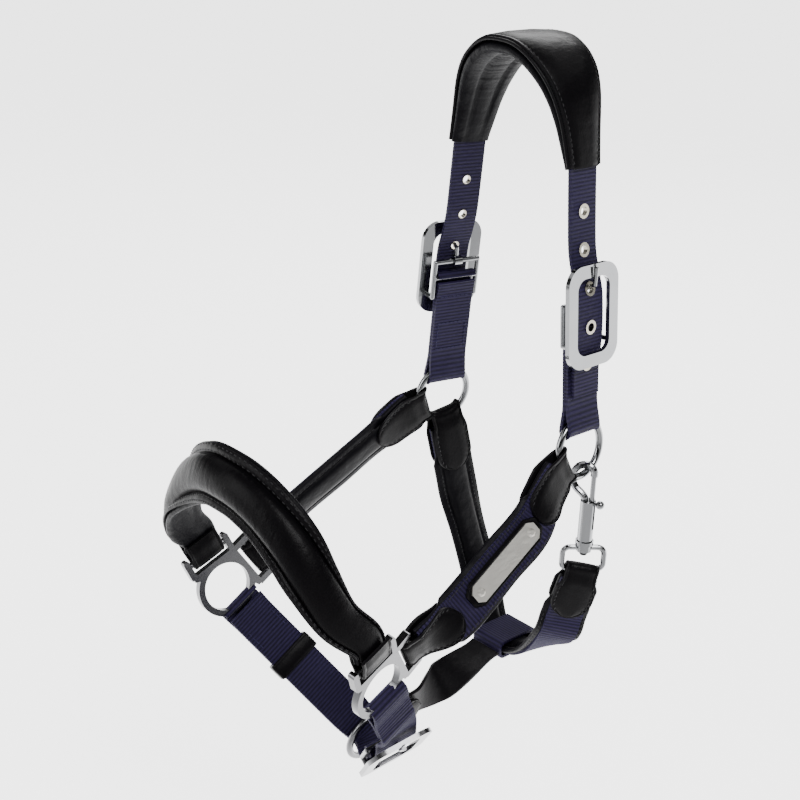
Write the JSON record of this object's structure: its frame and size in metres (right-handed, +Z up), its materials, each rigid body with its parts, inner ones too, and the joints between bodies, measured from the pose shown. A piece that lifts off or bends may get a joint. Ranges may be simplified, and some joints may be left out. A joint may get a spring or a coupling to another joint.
{
  "type": "headcollar",
  "caption": "Padded leather and webbing headcollar with a buckled crown, two cast nose fittings, rings, a chin buckle and a clip-up throat lash.",
  "frame": {"origin": "underside of the crown, middle of the poll", "axes": "+X towards the nose, +Y towards the near (left) side, +Z up"},
  "size_m": [0.2965, 0.1912, 0.4999],
  "materials": {
    "black_leather": "satin",
    "lining_leather": "satin",
    "navy_webbing": "matte",
    "chrome": "polished",
    "cast_satin": "satin",
    "nickel": "polished",
    "satin_plate": "satin"
  },
  "bodies": {
    "straps": {"crown_outer": "black_leather", "crown_padding": "lining_leather", "crown_webbing": "navy_webbing", "crown_eyelets": "nickel", "cheek_buckle_near": "chrome", "cheek_buckle_off": "chrome", "billet_near": "navy_webbing", "billet_off": "navy_webbing", "nose_fitting_near": "cast_satin", "nose_fitting_off": "cast_satin", "cheek_backing_near": "black_leather", "cheek_backing_off": "black_leather", "cheek_webbing_near": "navy_webbing", "cheek_webbing_off": "navy_webbing", "cheek_rear_tab_near": "black_leather", "cheek_rear_tab_off": "black_leather", "cheek_front_tab_near": "black_leather", "cheek_front_tab_off": "black_leather", "nameplate_patch": "black_leather", "nameplate": "satin_plate", "nameplate_rivets": "chrome", "noseband_lining": "lining_leather", "noseband_roll": "black_leather", "noseband_end_near": "black_leather", "noseband_end_off": "black_leather", "chin_strap": "navy_webbing", "chin_billet": "navy_webbing", "chin_buckle": "chrome", "jaw_strap": "black_leather", "jaw_tab": "black_leather", "jaw_loop": "navy_webbing", "throat_backing": "black_leather", "throat_webbing": "navy_webbing", "throat_off_tab": "black_leather", "throat_near_tab": "black_leather", "snap_eye": "chrome"},
    "tongue_near": {"cheek_tongue_near": "chrome"},
    "tongue_off": {"cheek_tongue_off": "chrome"},
    "chin_tongue": {"chin_tongue": "chrome"},
    "ring_near": {"upper_ring_near": "chrome"},
    "ring_off": {"upper_ring_off": "chrome"},
    "chin_ring": {"chin_ring": "chrome"},
    "keeper": {"chin_keeper": "black_leather"},
    "snap_body": {"snap_barrel": "chrome", "snap_hook": "chrome"},
    "snap_gate": {"snap_gate": "chrome"}
  },
  "joints": [
    {"name": "tongue_near_pivot", "type": "hinge", "parent": "straps", "child": "tongue_near", "pos_m": [0, 0.06103, -0.1556], "axis": [-1, 0, 0], "range_deg": [0, 4]},
    {"name": "tongue_off_pivot", "type": "hinge", "parent": "straps", "child": "tongue_off", "pos_m": [-0.00175, -0.05685, -0.1556], "axis": [0.9781, -0.2079, 0], "range_deg": [0, 4]},
    {"name": "chin_tongue_pivot", "type": "hinge", "parent": "straps", "child": "chin_tongue", "pos_m": [0.13965, 0.04518, -0.43905], "axis": [-0.9256, 0.2442, 0.289], "range_deg": [0, 4]},
    {"name": "ring_near_spin", "type": "hinge", "parent": "straps", "child": "ring_near", "pos_m": [0, 0.07062, -0.25513], "axis": [0, 0.9954, 0.0958], "continuous": true},
    {"name": "ring_off_spin", "type": "hinge", "parent": "straps", "child": "ring_off", "pos_m": [-0.00383, -0.0666, -0.25912], "axis": [-0.207, -0.9736, 0.0959], "continuous": true},
    {"name": "chin_ring_spin", "type": "hinge", "parent": "straps", "child": "chin_ring", "pos_m": [0.116, 0, -0.47], "axis": [-0.03, 0.9703, -0.2401], "continuous": true},
    {"name": "keeper_slide", "type": "slide", "parent": "straps", "child": "keeper", "axis": [-0.4342, 0.5764, -0.6923], "range_m": [-0.01, 0.02]},
    {"name": "snap_swivel", "type": "hinge", "parent": "straps", "child": "snap_body", "pos_m": [-0.00735, 0.07645, -0.33017], "axis": [0, 0, 1], "range_deg": [-15, 15]},
    {"name": "gate_slide", "type": "slide", "parent": "snap_body", "child": "snap_gate", "axis": [0, 0, -1], "range_m": [0, 0.007], "stiffness_N_per_m": 300, "springref_m": -0.004}
  ]
}
